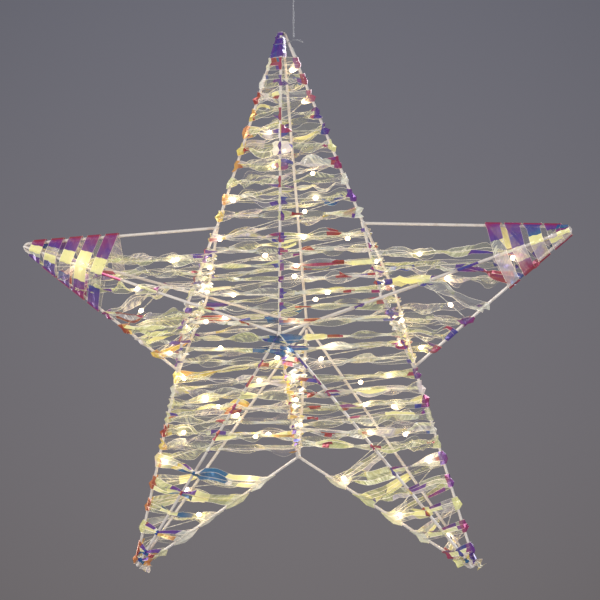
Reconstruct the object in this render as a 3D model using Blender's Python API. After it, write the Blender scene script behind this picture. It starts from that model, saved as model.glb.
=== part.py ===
"""Light-up star that hangs: a white wire frame with five arms, wound with iridescent film, lit from inside.

Metres, +Z up. The star faces -Y, and the origin is where the hanging loop bears on its hook.
"""
import math

import bmesh
import bpy
import numpy as np
from mathutils import Matrix, Quaternion, Vector

# Wire frame
ARMS = ["top", "left", "lower_left", "lower_right", "right"]
SHARP_REACH = 0.311
CORNER_SHARE = 0.4244
APEX_DEPTH = 0.058
WIRE_RADIUS = 0.0015
TIP_BEND = 0.004
BEAD_RADIUS = 0.0021
RIDGE_START = 0.0027
RIB_START = 0.0055
WELD_GAP = 0.0003
BEND_STEPS = 4

# Film strip
FILM_WIDTH = 0.0125
FILM_PINCH = 0.0045
FILM_THICKNESS = 0.0003
FILM_CLEARANCE = 0.0004
FILM_TWIST = math.radians(18)
TWIST_PHASE = math.radians(137)
CLIMB_SHARE = 0.5
SIDE_WIDTH = 0.008
FLARE_RUN = 0.06
SHORT_PASS = 0.025
WIDEST_STEP = math.radians(75)
MITRE_LIMIT = math.radians(65)
BAND_LIFT = 0.0012
BAND_MARGIN = 0.002
RIB_STAGGER = 0.0035

# Light string
STRING_RADIUS = 0.00035
STRING_CLEARANCE = 0.0004
LAMP_RADIUS = 0.0014
LAMP_LENGTH = 0.0055
LAMP_PITCH = 0.1
LAMP_MARGIN = 0.008
FEED_SLEEVE_RADIUS = 0.0016
FEED_SLEEVE_LENGTH = 0.011

# First and last turn of each stretch, as shares of an arm's reach from the star's centre, and how many turns
ARM_SHARES = (0.8746, 0.3794)
ARM_TURNS = 10
CHEST_SHARES = (0.3087, 0.0386)
CHEST_TURNS = 7
WAIST_SHARES = (-0.0514, -0.0965)
WAIST_TURNS = 2
HIP_SHARES = (-0.1543, -0.3794)
HIP_TURNS = 6
LEG_SHARES = (0.5723, 0.9132)
LEG_TURNS = 5
LEG_TILT = math.radians(12)
UPPER_SIDE_SHARES = (0.2412, 0.1511)
UPPER_SIDE_TURNS = 3
LOWER_SIDE_SHARES = (0.0611, -0.0740)
LOWER_SIDE_TURNS = 4
BAND_SHARES = (0.9260, 0.6849)
BAND_TURNS = 5

# Hanging line
LINE_RADIUS = 0.0008
LINE_LENGTH = 0.060
TIE_RISE = 0.022
TIE_RADIUS = 0.003
TIE_CORD_RADIUS = 0.0006
KNOT_RADIUS = 0.0019
TIE_POINTS = 16
TAIL_LENGTH = 0.008
LINE_SLEEVE_LENGTH = 0.008
LINE_SLEEVE_RADIUS = 0.0022
LOOP_HEIGHT = 0.026
LOOP_WIDTH = 0.013
LOOP_SIDE_SHARE = 0.7
LOOP_RISE_SHARE = 0.8
TAIL_SAG_SHARE = 0.33

ARM_STEP = math.tau / len(ARMS)
HALF_STEP = ARM_STEP / 2
FRONT, REAR = -1, 1
UP = Vector((0, 0, 1))
TOP, LEFT, LOWER_LEFT, LOWER_RIGHT, RIGHT = range(len(ARMS))
SHARP_EDGE = math.radians(40)
SIDE_NAMES = {FRONT: "front", REAR: "rear"}

CORNER_REACH = SHARP_REACH * CORNER_SHARE
TIE_LEVEL = SHARP_REACH * ARM_SHARES[0] + TIE_RISE
CORNER_LINE = CORNER_REACH * math.cos(HALF_STEP)
TIP_HALF_ANGLE = math.atan2(CORNER_REACH * math.sin(HALF_STEP), SHARP_REACH - CORNER_LINE)
BEND_CENTRE = SHARP_REACH - TIP_BEND / math.sin(TIP_HALF_ANGLE)
CROWN_REACH = BEND_CENTRE + TIP_BEND
STACK = 2 * WIRE_RADIUS + WELD_GAP
FILM_OFFSET = WIRE_RADIUS + FILM_CLEARANCE + FILM_THICKNESS / 2
STRING_OFFSET = WIRE_RADIUS + STRING_CLEARANCE + STRING_RADIUS


def clear_scene():
    for item in list(bpy.data.objects):
        bpy.data.objects.remove(item)


def material(name, colour, roughness, metallic=0.0):
    finish = bpy.data.materials.new(name)
    finish.use_nodes = True
    shader = finish.node_tree.nodes["Principled BSDF"]
    shader.inputs["Base Color"].default_value = (*colour, 1)
    shader.inputs["Roughness"].default_value = roughness
    shader.inputs["Metallic"].default_value = metallic
    finish.diffuse_color = (*colour, 1)
    return finish


def add_object(name, data, finish, parent):
    data.materials.append(finish)
    item = bpy.data.objects.new(name, data)
    bpy.context.collection.objects.link(item)
    item.parent = parent
    return item


def tube(name, points, radii, finish, parent, sides=8, closed=False):
    """A round bar or cord along the points, with flat ends, or a ring where it is closed."""
    curve = bpy.data.curves.new(name, "CURVE")
    curve.dimensions = "3D"
    widest = max(radii)
    curve.bevel_depth = widest
    curve.bevel_resolution = (sides - 4) // 2
    curve.use_fill_caps = True
    spline = curve.splines.new("POLY")
    spline.points.add(len(points) - 1)
    for target, place, radius in zip(spline.points, points, radii):
        target.co = (*place, 1)
        target.radius = radius / widest
    spline.use_cyclic_u = closed
    return add_object(name, curve, finish, parent)


def bar(name, points, finish, parent, radius=WIRE_RADIUS):
    return tube(name, points, [radius] * len(points), finish, parent)


def mesh_object(name, mesh_maker, finish, parent):
    shape = bmesh.new()
    mesh_maker(shape)
    bmesh.ops.recalc_face_normals(shape, faces=shape.faces)
    if shape.calc_volume(signed=True) < 0:
        bmesh.ops.reverse_faces(shape, faces=shape.faces)
    mesh = bpy.data.meshes.new(name)
    shape.to_mesh(mesh)
    shape.free()
    mesh.shade_smooth()
    mesh.set_sharp_from_angle(angle=SHARP_EDGE)
    return add_object(name, mesh, finish, parent)


def ball(name, centre, radius, finish, parent):
    def make(shape):
        bmesh.ops.create_icosphere(shape, subdivisions=2, radius=radius, matrix=Matrix.Translation(centre))

    return mesh_object(name, make, finish, parent)


def sleeve(name, start, end, radius, finish, parent):
    """A crimped or shrunk sleeve with rounded rims, from one point to the other."""
    run = end - start
    rim = radius / 4
    turn = UP.rotation_difference(run)
    place = Matrix.LocRotScale((start + end) / 2, turn, None)

    def make(shape):
        bmesh.ops.create_cone(
            shape, cap_ends=True, segments=12, radius1=radius, radius2=radius, depth=run.length, matrix=place
        )
        spans = {edge: edge.verts[0].co - edge.verts[1].co for edge in shape.edges}
        rims = [edge for edge, span in spans.items() if abs(span.dot(run)) < rim * rim]
        bmesh.ops.bevel(shape, geom=rims, offset=rim, segments=1, affect="EDGES")

    return mesh_object(name, make, finish, parent)


def arm_angle(arm):
    return math.pi / 2 + ARM_STEP * arm


def spoke(angle, reach, depth=0.0):
    return Vector((reach * math.cos(angle), depth, reach * math.sin(angle)))


def corner_after(arm, depth=0.0):
    return spoke(arm_angle(arm) + HALF_STEP, CORNER_REACH, depth)


def corner_before(arm, depth=0.0):
    return spoke(arm_angle(arm) - HALF_STEP, CORNER_REACH, depth)


def sharp_tip(arm):
    return spoke(arm_angle(arm), SHARP_REACH)


def ridge(arm, side):
    """Centreline of a ridge wire, from the weld bead at its apex to the bend at the arm's tip."""
    apex = Vector((0, side * APEX_DEPTH, 0))
    tip = spoke(arm_angle(arm), CROWN_REACH, side * STACK)
    return [apex + (tip - apex).normalized() * RIDGE_START, tip]


def rib(side):
    apex = Vector((0, side * APEX_DEPTH, 0))
    crotch = corner_after(LOWER_LEFT, side * STACK)
    return [apex + (crotch - apex).normalized() * RIB_START, crotch]


def base_wire(arm, side):
    """Centreline across the foot of an arm, under the ridge wire that it crosses."""
    start, tip = ridge(arm, side)
    run = (tip - start).normalized()
    inward = Vector((0, -side, 0))
    under = (inward - inward.dot(run) * run).normalized() * STACK
    share = CORNER_LINE / CROWN_REACH
    crossing_point = Vector((0, side * APEX_DEPTH, 0)).lerp(tip, share) + under
    return [corner_before(arm, side * STACK), crossing_point, corner_after(arm, side * STACK)]


def before(arm):
    return [corner_before(arm), sharp_tip(arm)]


def after(arm):
    return [corner_after(arm), sharp_tip(arm)]


def tip_wire(arm):
    """One V of the outline: from corner to corner, bent round at the tip."""
    along = spoke(arm_angle(arm), 1)
    across = spoke(arm_angle(arm) + math.pi / 2, 1)
    back_off = (WIRE_RADIUS + WELD_GAP / 2) / math.tan(HALF_STEP + TIP_HALF_ANGLE)
    ends = []
    for corner in (corner_after(arm), corner_before(arm)):
        ends.append(corner + (sharp_tip(arm) - corner).normalized() * back_off)
    sweep = math.pi / 2 - TIP_HALF_ANGLE
    bend = []
    for step in range(BEND_STEPS + 1):
        angle = sweep * (1 - 2 * step / BEND_STEPS)
        reach = BEND_CENTRE + TIP_BEND * math.cos(angle)
        bend.append(along * reach + across * (TIP_BEND * math.sin(angle)))
    return [ends[0], *bend, ends[1]]


def spread(first, last, count):
    return [first + (last - first) * step / (count - 1) for step in range(count)]


def levels_of(shares, turns):
    """Levels of a stretch of turns, from its shares of the arm's reach."""
    return [SHARP_REACH * share for share in spread(*shares, turns)]


def crossing(line, axis, level):
    """Where a centreline passes a level along the axis, and its direction there, or None where it doesn't."""
    for start, end in zip(line, line[1:]):
        low, high = start.dot(axis), end.dot(axis)
        if min(low, high) <= level <= max(low, high):
            run = (end - start).normalized()
            return start.lerp(end, (level - low) / (high - low)), run if high > low else -run
    return None


def corners(levels, axis, stops, last_stops):
    """Where the turns meet wires, in order. A stop is a wire, its share of the climb, a shift and limits."""
    found = []
    pitch = levels[0] - levels[1]
    for index, level in enumerate(levels):
        if index + 1 < len(levels):
            pitch = level - levels[index + 1]
        used = stops if index + 1 < len(levels) else stops[:last_stops]
        for line, climb, shift, lowest, highest in used:
            height = level - climb * pitch + shift
            place = crossing(line, axis, height) if lowest < height < highest else None
            if place:
                found.append(place)
    return found


def stop(line, climb=0.0, shift=0.0, lowest=-math.inf, highest=math.inf):
    return line, climb, shift, lowest, highest


CROSS_LEVEL = CORNER_LINE * math.sin(arm_angle(LEFT))
SIDE_CORNER_LEVEL = corner_after(LEFT).z
TILTED = {LOWER_LEFT: Vector((math.sin(LEG_TILT), 0, math.cos(LEG_TILT))),
          LOWER_RIGHT: Vector((-math.sin(LEG_TILT), 0, math.cos(LEG_TILT)))}


def four_stops(arm):
    """Round an arm once: left edge, front ridge, right edge, rear ridge."""
    return [stop(after(arm)), stop(ridge(arm, FRONT)), stop(before(arm)), stop(ridge(arm, REAR), CLIMB_SHARE)]


def top_turns(skip):
    """Corners of the turns round the top arm and then round the upper body."""
    arm_stops = four_stops(TOP)
    chest_stops = [
        stop(base_wire(LEFT, FRONT)),
        stop(ridge(LEFT, FRONT), highest=CROSS_LEVEL),
        stop(ridge(TOP, FRONT)),
        stop(ridge(RIGHT, FRONT), highest=CROSS_LEVEL),
        stop(base_wire(RIGHT, FRONT)),
        stop(base_wire(RIGHT, REAR)),
        stop(ridge(RIGHT, REAR), highest=CROSS_LEVEL),
        stop(ridge(TOP, REAR), CLIMB_SHARE),
        stop(ridge(LEFT, REAR), 1, highest=CROSS_LEVEL),
        stop(base_wire(LEFT, REAR), 1),
    ]
    arm = corners(levels_of(ARM_SHARES, ARM_TURNS)[::skip], UP, arm_stops, len(arm_stops))
    chest = corners(levels_of(CHEST_SHARES, CHEST_TURNS)[::skip], UP, chest_stops, len(chest_stops) - 4)
    return arm + chest


def leg_levels(arm, skip):
    lean = spoke(arm_angle(arm), 1).dot(TILTED[arm])
    return [reach * lean for reach in levels_of(LEG_SHARES, LEG_TURNS)[::skip]]


def hip_levels(skip):
    return (levels_of(WAIST_SHARES, WAIST_TURNS) + levels_of(HIP_SHARES, HIP_TURNS))[::skip]


def lower_left_turns(skip):
    body_stops = [
        stop(base_wire(LEFT, FRONT), lowest=SIDE_CORNER_LEVEL),
        stop(before(LOWER_LEFT), highest=SIDE_CORNER_LEVEL),
        stop(ridge(LOWER_LEFT, FRONT)),
        stop(rib(FRONT), 0, -RIB_STAGGER),
        stop(rib(REAR), 0, -RIB_STAGGER),
        stop(ridge(LOWER_LEFT, REAR), CLIMB_SHARE),
        stop(base_wire(LEFT, REAR), 1, lowest=SIDE_CORNER_LEVEL),
    ]
    leg_stops = [
        stop(before(LOWER_LEFT)),
        stop(ridge(LOWER_LEFT, FRONT)),
        stop(after(LOWER_LEFT)),
        stop(ridge(LOWER_LEFT, REAR), CLIMB_SHARE),
    ]
    body = corners(hip_levels(skip), UP, body_stops, len(body_stops))
    leg = corners(leg_levels(LOWER_LEFT, skip), TILTED[LOWER_LEFT], leg_stops, len(leg_stops) - 1)
    return body + leg


def lower_right_turns(skip):
    body_stops = [
        stop(rib(FRONT), 0, RIB_STAGGER),
        stop(ridge(LOWER_RIGHT, FRONT)),
        stop(base_wire(RIGHT, FRONT), lowest=SIDE_CORNER_LEVEL),
        stop(after(LOWER_RIGHT), highest=SIDE_CORNER_LEVEL),
        stop(base_wire(RIGHT, REAR), lowest=SIDE_CORNER_LEVEL),
        stop(ridge(LOWER_RIGHT, REAR), CLIMB_SHARE),
        stop(rib(REAR), 1, RIB_STAGGER),
    ]
    leg_stops = [
        stop(before(LOWER_RIGHT)),
        stop(ridge(LOWER_RIGHT, FRONT)),
        stop(after(LOWER_RIGHT)),
        stop(ridge(LOWER_RIGHT, REAR), CLIMB_SHARE),
    ]
    body = corners(hip_levels(skip), UP, body_stops, len(body_stops) - 1)
    leg = corners(leg_levels(LOWER_RIGHT, skip), TILTED[LOWER_RIGHT], leg_stops, len(leg_stops) - 1)
    return body + leg


def side_levels(skip):
    upper = levels_of(UPPER_SIDE_SHARES, UPPER_SIDE_TURNS)
    return (upper + levels_of(LOWER_SIDE_SHARES, LOWER_SIDE_TURNS))[::skip]


def left_arm_turns(skip):
    stops = [
        stop(after(LEFT)),
        stop(ridge(LEFT, FRONT), lowest=CROSS_LEVEL),
        stop(base_wire(LEFT, FRONT)),
        stop(base_wire(LEFT, REAR)),
        stop(ridge(LEFT, REAR), lowest=CROSS_LEVEL),
    ]
    return corners(side_levels(skip), UP, stops, len(stops))


def right_arm_turns(skip):
    stops = [
        stop(base_wire(RIGHT, FRONT)),
        stop(ridge(RIGHT, FRONT), lowest=CROSS_LEVEL),
        stop(before(RIGHT), 1),
        stop(ridge(RIGHT, REAR), 1, lowest=CROSS_LEVEL),
        stop(base_wire(RIGHT, REAR), 1),
    ]
    return corners(side_levels(skip), UP, stops, len(stops) - 3)


def band_turns(arm):
    stops = four_stops(arm)
    return corners(levels_of(BAND_SHARES, BAND_TURNS), spoke(arm_angle(arm), 1), stops, len(stops))


def level_out(direction, tangent):
    return direction.cross(tangent).normalized()


def arc_normals(arrive, leave):
    """Outward directions round a wire, from one pass to the next, and the angle that each step spans."""
    angle = arrive.angle(leave)
    if angle < MITRE_LIMIT:
        return [(arrive + leave).normalized()], angle
    steps = math.ceil(angle / WIDEST_STEP)
    axis = arrive.cross(leave).normalized()
    return [Quaternion(axis, angle * step / steps) @ arrive for step in range(steps + 1)], angle / steps


def film_stations(places, offset, pinch, twist, calm):
    """Centre, width direction, outward direction and half width at each section of a strip."""
    stations = []
    count = len(places)
    for index, (point, tangent) in enumerate(places):
        arriving = (point - places[index - 1][0]) if index else (places[1][0] - point)
        leaving = (places[index + 1][0] - point) if index + 1 < count else arriving
        arrive, leave = level_out(arriving, tangent), level_out(leaving, tangent)
        normals, step = arc_normals(arrive, leave)
        reach = offset / math.cos(step / 2)
        for normal in normals:
            stations.append((point + normal * reach, tangent, normal, pinch / 2))
        if index + 1 < count:
            following, following_tangent = places[index + 1]
            end = following + level_out(leaving, following_tangent) * offset
            turn = twist * math.sin(TWIST_PHASE * index)
            stations += pass_stations(stations[-1], end, following_tangent, pinch, turn, calm)
    return stations


def pass_stations(last, end, end_width, pinch, twist, calm):
    """Sections between two wires: the strip flares and twists, but lies calm and narrow under the bands."""
    start, start_width = last[0], last[1]
    run = end - start
    way = run.normalized()
    free = [0.0, 1.0]
    edges = []
    if calm:
        axis, level = calm
        heights = start.dot(axis), end.dot(axis)
        if min(heights) < level < max(heights):
            edge = (level - heights[0]) / (heights[1] - heights[0])
            free[0 if heights[0] > level else 1] = edge
            edges.append((edge, pinch, 0.0))
        elif min(heights) >= level:
            return []
    length = run.length * (free[1] - free[0])
    if length > SHORT_PASS:
        widest = SIDE_WIDTH if abs(way.y) > abs(way.x) else FILM_WIDTH
        crossing_angle = min(way.cross(start_width).length, way.cross(end_width).length)
        flare = (widest - pinch) * min(1, length / FLARE_RUN) ** 2
        edges.append((sum(free) / 2, pinch + flare, twist * crossing_angle))
    sections = []
    for share, breadth, angle in sorted(edges):
        width = start_width.lerp(end_width, share)
        width = Quaternion(way, angle) @ (width - width.dot(way) * way).normalized()
        sections.append((start + run * share, width, way.cross(width).normalized(), breadth / 2))
    return sections


def least_gap(stations, name):
    """Least distance between points of a strip that lie on different turns, printed for the record."""
    rows = [[centre + width * half * sign for sign in (-1, 0, 1)] for centre, width, _, half in stations]
    points = np.array(rows).reshape(-1, 3)
    places = np.repeat(np.arange(len(stations)), 3)
    far_apart = np.abs(places[:, None] - places[None, :]) > 5
    distances = np.linalg.norm(points[:, None] - points[None, :], axis=2)
    gap = distances[far_apart].min() - FILM_THICKNESS
    print(f"{name}: least gap to itself {gap * 1000:.2f} mm over {len(stations)} sections")


def film(name, places, finish, parent, offset=FILM_OFFSET, pinch=FILM_PINCH, twist=FILM_TWIST, calm=None):
    stations = film_stations(places, offset, pinch, twist, calm)
    least_gap(stations, name)
    signs = ((-1, -1), (1, -1), (1, 1), (-1, 1))

    def make(shape):
        rings = []
        for centre, width, normal, half in stations:
            side, face = width * half, normal * (FILM_THICKNESS / 2)
            rings.append([shape.verts.new(centre + side * a + face * b) for a, b in signs])
        # Front and back of the strip are split along the same diagonal, so that they stay apart where it twists
        for one, two in zip(rings, rings[1:]):
            for left, right in ((0, 1), (1, 2), (3, 0)):
                shape.faces.new((one[left], one[right], two[right]))
                shape.faces.new((one[left], two[right], two[left]))
            shape.faces.new((one[2], one[3], two[2]))
            shape.faces.new((one[3], two[3], two[2]))
        shape.faces.new(rings[0])
        shape.faces.new(rings[-1])

    return mesh_object(name, make, finish, parent)


def string_path(places, lead_in):
    """The string runs inside the wires: one point at each, tucked in along the bisector."""
    path = list(lead_in)
    for index, (point, tangent) in enumerate(places):
        arriving = (point - places[index - 1][0]) if index else (places[1][0] - point)
        leaving = (places[index + 1][0] - point) if index + 1 < len(places) else arriving
        outward = (level_out(arriving, tangent) + level_out(leaving, tangent)).normalized()
        path.append(point - outward * STRING_OFFSET)
    return path


def light_string(name, places, finish, parent, lead_in=()):
    """Thin wire with a resin drop each lamp pitch, one body, kept off the bends."""
    path = string_path(places, lead_in)
    points, radii = [path[0]], [STRING_RADIUS]
    travelled, next_lamp, lamps = 0.0, LAMP_PITCH / 2, 0
    half = LAMP_LENGTH / 2
    for start, end in zip(path, path[1:]):
        run = end - start
        way = run.normalized()
        place = max(next_lamp - travelled, LAMP_MARGIN)
        while place < run.length - LAMP_MARGIN:
            centre = start + way * place
            points += [centre - way * half, centre, centre + way * half]
            radii += [STRING_RADIUS, LAMP_RADIUS, STRING_RADIUS]
            lamps += 1
            next_lamp = travelled + place + LAMP_PITCH
            place = next_lamp - travelled
        travelled += run.length
        points.append(end)
        radii.append(STRING_RADIUS)
    print(f"{name}: {travelled:.2f} m of wire with {lamps} lamps")
    return tube(name, points, radii, finish, parent, sides=4)


def build_frame(finish, parent):
    for arm, arm_name in enumerate(ARMS):
        bar(f"tip_wire_{arm_name}", tip_wire(arm), finish, parent)
        for side, side_name in SIDE_NAMES.items():
            bar(f"ridge_{side_name}_{arm_name}", ridge(arm, side), finish, parent)
    for side, side_name in SIDE_NAMES.items():
        bar(f"crotch_rib_{side_name}", rib(side), finish, parent)
        ball(f"weld_bead_{side_name}", Vector((0, side * APEX_DEPTH, 0)), BEAD_RADIUS, finish, parent)
        for arm in (LEFT, RIGHT):
            bar(f"base_wire_{side_name}_{ARMS[arm]}", base_wire(arm, side), finish, parent)


def build_films(finish, parent):
    film("film_top", top_turns(1), finish, parent)
    film("film_lower_left", lower_left_turns(1), finish, parent)
    film("film_lower_right", lower_right_turns(1), finish, parent)
    band_edge = SHARP_REACH * BAND_SHARES[1] - FILM_WIDTH / 2 - BAND_MARGIN
    for arm, turns in ((LEFT, left_arm_turns(1)), (RIGHT, right_arm_turns(1))):
        film(f"film_{ARMS[arm]}_arm", turns, finish, parent, calm=(spoke(arm_angle(arm), 1), band_edge))
        film(f"film_{ARMS[arm]}_tip", band_turns(arm), finish, parent, FILM_OFFSET + BAND_LIFT, FILM_WIDTH, 0)


def build_strings(finish, sleeve_finish, parent):
    wire_place, wire_run = crossing(before(TOP), UP, TIE_LEVEL)
    behind = Vector((0, WIRE_RADIUS + WELD_GAP + FEED_SLEEVE_RADIUS, 0))
    sleeve_top = wire_place + behind - wire_run * (2 * TIE_RADIUS)
    sleeve_foot = sleeve_top - wire_run * FEED_SLEEVE_LENGTH
    sleeve("feed_sleeve", sleeve_foot, sleeve_top, FEED_SLEEVE_RADIUS, sleeve_finish, parent)
    lead_in = [sleeve_foot - wire_run * WELD_GAP, sleeve_foot - wire_run * (2 * FEED_SLEEVE_RADIUS)]
    light_string("light_string_top", top_turns(2), finish, parent, lead_in)
    light_string("light_string_lower_left", lower_left_turns(2), finish, parent)
    light_string("light_string_lower_right", lower_right_turns(2), finish, parent)
    light_string("light_string_left_arm", left_arm_turns(2), finish, parent)
    light_string("light_string_right_arm", right_arm_turns(2), finish, parent)


def knot_place():
    """The knot's centre beside the tie loop, in the star's own frame."""
    wire_place, wire_run = crossing(before(TOP), UP, TIE_LEVEL)
    sideways = wire_run.cross(Vector((0, -1, 0))).normalized()
    sideways = sideways if sideways.x > 0 else -sideways
    return wire_place + sideways * (TIE_RADIUS + TIE_CORD_RADIUS + WELD_GAP + KNOT_RADIUS)


def build_tie(finish, parent):
    """The line's turn round the frame wire: a slack ring square to the wire."""
    centre, axis = crossing(before(TOP), UP, TIE_LEVEL)
    across = axis.cross(Vector((0, -1, 0))).normalized()
    other = axis.cross(across)
    points = []
    for step in range(TIE_POINTS):
        angle = math.tau * step / TIE_POINTS
        points.append(centre + (across * math.cos(angle) + other * math.sin(angle)) * TIE_RADIUS)
    tube("tie_loop", points, [TIE_CORD_RADIUS] * TIE_POINTS, finish, parent, closed=True)


def build_line(finish, sleeve_finish):
    """Everything from the hook down to the knot, on the vertical through the origin."""
    knot = Vector((0, 0, -line_drop()))
    ball("line_knot", knot, KNOT_RADIUS, finish, None)
    tail_start = knot + Vector((KNOT_RADIUS + WELD_GAP, 0, 0))
    tail = []
    for share in spread(0, 1, 5):
        tail.append(tail_start + Vector((TAIL_LENGTH * share, 0, -TAIL_LENGTH * TAIL_SAG_SHARE * share ** 2)))
    bar("line_tail", tail, finish, None, LINE_RADIUS)
    line_foot = knot + UP * (KNOT_RADIUS + WELD_GAP)
    line_head = line_foot + UP * LINE_LENGTH
    line_points = [line_foot.lerp(line_head, share) for share in spread(0, 1, 16)]
    bar("hanging_line", line_points, finish, None, LINE_RADIUS)
    sleeve_foot = line_head + UP * WELD_GAP
    sleeve_head = sleeve_foot + UP * LINE_SLEEVE_LENGTH
    sleeve("line_sleeve", sleeve_foot, sleeve_head, LINE_SLEEVE_RADIUS, sleeve_finish, None)
    start = sleeve_head + UP * WELD_GAP
    foot_gap = LINE_RADIUS + WELD_GAP
    points = []
    for share in spread(0, 1, 21):
        swing = math.sin(math.pi * share)
        side = -math.cos(math.pi * share)
        width = foot_gap + (LOOP_WIDTH / 2 - foot_gap) * swing ** LOOP_SIDE_SHARE
        points.append(start + Vector((side * width, 0, LOOP_HEIGHT * swing ** LOOP_RISE_SHARE)))
    bar("hanging_loop", points, finish, None, LINE_RADIUS)


def line_drop():
    """Depth of the knot below the origin, which is inside the loop's crown."""
    below_crown = LOOP_HEIGHT - LINE_RADIUS + WELD_GAP
    return below_crown + LINE_SLEEVE_LENGTH + WELD_GAP + LINE_LENGTH + WELD_GAP + KNOT_RADIUS


def hanging_place():
    """The star hangs with its centre straight under the knot, so it leans by the knot's offset."""
    knot = knot_place()
    lean = math.atan2(knot.x, knot.z)
    return (Matrix.Translation(Vector((0, 0, -line_drop()))) @ Matrix.Rotation(-lean, 4, "Y")
            @ Matrix.Translation(-knot))


def main():
    clear_scene()
    steel = material("white_lacquer", (0.82, 0.80, 0.76), 0.35)
    strip = material("iridescent_film", (0.84, 0.86, 0.70), 0.12)
    string = material("pale_wire", (0.90, 0.84, 0.70), 0.3)
    clear = material("clear_cord", (0.80, 0.80, 0.78), 0.2)
    shrink = material("clear_sleeve", (0.78, 0.78, 0.74), 0.25)
    star = bpy.data.objects.new("star_hanging", None)
    bpy.context.collection.objects.link(star)
    star.matrix_world = hanging_place()
    build_frame(steel, star)
    build_films(strip, star)
    build_strings(string, shrink, star)
    build_tie(clear, star)
    build_line(clear, shrink)


main()
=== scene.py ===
"""Light-up star that hangs by a thin clear line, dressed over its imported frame."""

import math
import random

import bmesh
import bpy
import numpy as np
from mathutils import Matrix, Quaternion, Vector, noise


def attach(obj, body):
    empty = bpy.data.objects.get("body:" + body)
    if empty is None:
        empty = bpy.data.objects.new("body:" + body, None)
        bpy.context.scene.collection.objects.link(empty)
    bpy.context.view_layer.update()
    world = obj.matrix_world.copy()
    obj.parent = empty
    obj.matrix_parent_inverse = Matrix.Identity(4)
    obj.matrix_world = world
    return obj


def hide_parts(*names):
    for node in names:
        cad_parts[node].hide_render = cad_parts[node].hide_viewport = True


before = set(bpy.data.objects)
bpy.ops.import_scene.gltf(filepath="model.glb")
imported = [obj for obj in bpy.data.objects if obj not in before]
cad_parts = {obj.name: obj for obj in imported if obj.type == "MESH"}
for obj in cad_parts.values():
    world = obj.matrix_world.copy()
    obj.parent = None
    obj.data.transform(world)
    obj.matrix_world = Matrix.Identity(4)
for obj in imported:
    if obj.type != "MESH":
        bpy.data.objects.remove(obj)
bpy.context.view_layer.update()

# Frame: five V-bent tip wires, ten ridge wires, two crotch ribs and four base wires of 3 mm steel, spot
# welded where they meet, then dipped in white lacquer. It hangs off centre from its tied top arm, so it
# leans a little.
ARMS = ["top", "left", "lower_left", "lower_right", "right"]
TOP, LEFT, LOWER_LEFT, LOWER_RIGHT, RIGHT = range(5)
FRONT, REAR = -1, 1
UP = Vector((0, 0, 1))
WIRE_RADIUS = 0.0015
GAP = 0.0003
ARM_REACH = 0.311
INNER_REACH = ARM_REACH * 0.4244
APEX = 0.058
BEND = 0.004
STACKED = 2 * WIRE_RADIUS + GAP
RIDGE_START = 0.0027
RIB_START = 0.0055
HALF_STEP = math.pi / 5
INNER_LINE = INNER_REACH * math.cos(HALF_STEP)
TIP_ANGLE = math.atan2(INNER_REACH * math.sin(HALF_STEP), ARM_REACH - INNER_LINE)
CROWN = ARM_REACH - BEND / math.sin(TIP_ANGLE) + BEND
FIRST_TURN_SHARE = 0.8746
TIE_ABOVE_TURN = 0.022
TIE_LEVEL = ARM_REACH * FIRST_TURN_SHARE + TIE_ABOVE_TURN
TIE_RADIUS = 0.003
TIE_THICKNESS = 0.0012
KNOT_RADIUS = 0.0019
KNOT = Vector((0, 0, -0.096))


def bearing(arm):
    return math.pi / 2 + 2 * HALF_STEP * arm


def spoke(angle, reach, depth=0.0):
    return Vector((reach * math.cos(angle), depth, reach * math.sin(angle)))


def left_edge(arm):
    return [spoke(bearing(arm) + HALF_STEP, INNER_REACH), spoke(bearing(arm), ARM_REACH)]


def right_edge(arm):
    return [spoke(bearing(arm) - HALF_STEP, INNER_REACH), spoke(bearing(arm), ARM_REACH)]


def from_apex(side, start, end):
    apex = Vector((0, side * APEX, 0))
    return [apex + (end - apex).normalized() * start, end]


def ridge(arm, side):
    return from_apex(side, RIDGE_START, spoke(bearing(arm), CROWN, side * STACKED))


def crotch_rib(side):
    return from_apex(side, RIB_START, spoke(-math.pi / 2, INNER_REACH, side * STACKED))


def base_wire(arm, side):
    start, tip = ridge(arm, side)
    run = (tip - start).normalized()
    inward = Vector((0, -side, 0))
    under = (inward - inward.dot(run) * run).normalized() * STACKED
    middle = Vector((0, side * APEX, 0)).lerp(tip, INNER_LINE / CROWN) + under
    ends = [spoke(bearing(arm) + turn, INNER_REACH, side * STACKED) for turn in (-HALF_STEP, HALF_STEP)]
    return [ends[0], middle, ends[1]]


def crossing(wire, axis, level):
    """Where a wire passes a level along the axis, and the wire's direction there."""
    for start, end in zip(wire, wire[1:]):
        low, high = start.dot(axis), end.dot(axis)
        if min(low, high) <= level <= max(low, high):
            run = (end - start).normalized()
            return start.lerp(end, (level - low) / (high - low)), run if high > low else -run
    return None


tie_centre, tie_run = crossing(right_edge(TOP), UP, TIE_LEVEL)
aside = tie_run.cross(Vector((0, 1, 0))).normalized()
aside = aside if aside.x > 0 else -aside
knot_on_star = tie_centre + aside * (TIE_RADIUS + TIE_THICKNESS / 2 + GAP + KNOT_RADIUS)
LEAN = math.atan2(knot_on_star.x, knot_on_star.z)
HUNG = Matrix.Translation(KNOT) @ Matrix.Rotation(-LEAN, 4, "Y") @ Matrix.Translation(-knot_on_star)


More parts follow.
